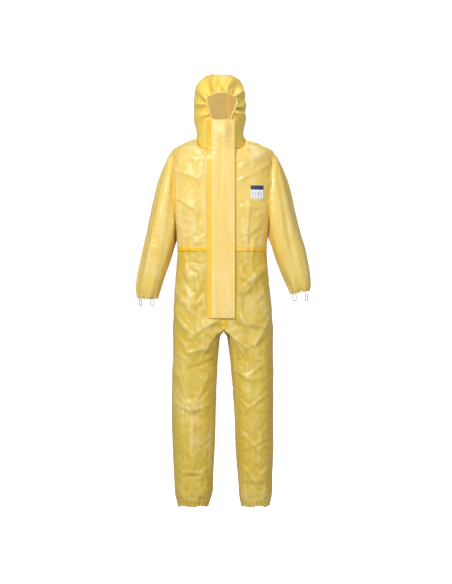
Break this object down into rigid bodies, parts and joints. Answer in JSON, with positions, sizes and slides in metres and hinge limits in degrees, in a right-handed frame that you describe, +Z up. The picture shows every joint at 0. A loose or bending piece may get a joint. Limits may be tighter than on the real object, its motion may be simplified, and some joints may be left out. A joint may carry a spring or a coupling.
{
  "type": "chemical protective suit",
  "caption": "Hooded one-piece chemical protective coverall with taped seams, zip under a storm flap, elastic face opening, waist, cuffs and ankles, and finger loops.",
  "frame": {"origin": "on the ground under the middle of the suit, level with the ankle hems", "axes": "+Z up along the suit, -Y is the front (the way the wearer faces), +X is the wearer's left"},
  "size_m": [0.697, 0.2644, 1.752],
  "materials": {
    "film_yellow": "laminated film over nonwoven, satin, slightly translucent",
    "tape_orange": "welded seam tape, satin",
    "elastic_covered": "elastic covered in film",
    "zip_tape": "woven tape",
    "zip_plastic": "moulded nylon coil",
    "zip_metal": "lacquered die casting",
    "liner_white": "release liner",
    "loop_white": "braided elastic cord",
    "label_white": "printed film label"
  },
  "bodies": {
    "suit": {"hood_right_panel": "film_yellow", "hood_left_panel": "film_yellow", "hood_centre_panel": "film_yellow", "face_elastic": "elastic_covered", "hood_right_seam_tape": "tape_orange", "hood_left_seam_tape": "tape_orange", "right_front_panel": "film_yellow", "left_front_panel": "film_yellow", "back_panel": "film_yellow", "right_hip_panel": "film_yellow", "left_hip_panel": "film_yellow", "waist_seam_tape": "tape_orange", "waist_elastic": "elastic_covered", "left_armhole_tape": "tape_orange", "right_armhole_tape": "tape_orange", "seat_seam_tape": "tape_orange", "crotch_seam_tape": "tape_orange", "chest_label": "label_white", "zip_tape_right": "zip_tape", "zip_tape_left": "zip_tape", "zip_coil_right": "zip_plastic", "zip_coil_left": "zip_plastic", "zip_bottom_stop": "zip_metal", "zip_top_stops": "zip_metal", "inner_flap": "film_yellow", "chin_guard": "film_yellow", "flap_seam_tape": "tape_orange"},
    "slider": {"zip_slider": "zip_metal"},
    "pull": {"zip_pull": "zip_metal"},
    "flap": {"outer_flap": "film_yellow", "flap_edge_hem": "film_yellow", "flap_adhesive_strip": "liner_white"},
    "right_sleeve": {"right_sleeve_panel": "film_yellow", "right_cuff_elastic": "elastic_covered", "right_underarm_tape": "tape_orange"},
    "left_sleeve": {"left_sleeve_panel": "film_yellow", "left_cuff_elastic": "elastic_covered", "left_underarm_tape": "tape_orange"},
    "right_leg": {"right_leg_panel": "film_yellow", "right_ankle_elastic": "elastic_covered", "right_inseam_tape": "tape_orange"},
    "left_leg": {"left_leg_panel": "film_yellow", "left_ankle_elastic": "elastic_covered", "left_inseam_tape": "tape_orange"},
    "right_thumb_cord": {"right_thumb_loop": "loop_white"},
    "right_finger_cord": {"right_finger_loop": "loop_white"},
    "left_finger_cord": {"left_finger_loop": "loop_white"},
    "left_thumb_cord": {"left_thumb_loop": "loop_white"}
  },
  "joints": [
    {"name": "zip_slide", "type": "slide", "parent": "suit", "child": "slider", "axis": [0, 0, -1], "range_m": [0, 0.73]},
    {"name": "pull_swing", "type": "hinge", "parent": "slider", "child": "pull", "pos_m": [0, -0.1246, 1.536], "axis": [-1, 0, 0], "range_deg": [0, 8]},
    {"name": "flap_open", "type": "hinge", "parent": "suit", "child": "flap", "pos_m": [-0.0463, -0.131, 1.168], "axis": [0, 0, -1], "range_deg": [0, 150]},
    {"name": "right_sleeve_raise", "type": "hinge", "parent": "suit", "child": "right_sleeve", "pos_m": [-0.198, 0, 1.27], "axis": [0, 1, 0], "range_deg": [0, 50]},
    {"name": "left_sleeve_raise", "type": "hinge", "parent": "suit", "child": "left_sleeve", "pos_m": [0.198, 0, 1.27], "axis": [0, -1, 0], "range_deg": [0, 50]},
    {"name": "right_leg_swing", "type": "hinge", "parent": "suit", "child": "right_leg", "pos_m": [-0.1, 0, 0.738], "axis": [-1, 0, 0], "range_deg": [-15, 24]},
    {"name": "left_leg_swing", "type": "hinge", "parent": "suit", "child": "left_leg", "pos_m": [0.1, 0, 0.738], "axis": [-1, 0, 0], "range_deg": [-15, 24]},
    {"name": "right_thumb_loop_swing", "type": "hinge", "parent": "right_sleeve", "child": "right_thumb_cord", "pos_m": [-0.3326, -0.02352, 0.8454], "axis": [-0.6157, 0.788, 0], "range_deg": [-20, 45]},
    {"name": "right_finger_loop_swing", "type": "hinge", "parent": "right_sleeve", "child": "right_finger_cord", "pos_m": [-0.28457, -0.03373, 0.8454], "axis": [-0.8829, -0.4695, 0], "range_deg": [-20, 45]},
    {"name": "left_finger_loop_swing", "type": "hinge", "parent": "left_sleeve", "child": "left_finger_cord", "pos_m": [0.29157, -0.03373, 0.8664], "axis": [-0.8829, 0.4695, 0], "range_deg": [-20, 45]},
    {"name": "left_thumb_loop_swing", "type": "hinge", "parent": "left_sleeve", "child": "left_thumb_cord", "pos_m": [0.3396, -0.02352, 0.8664], "axis": [-0.6157, -0.788, 0], "range_deg": [-20, 45]}
  ]
}
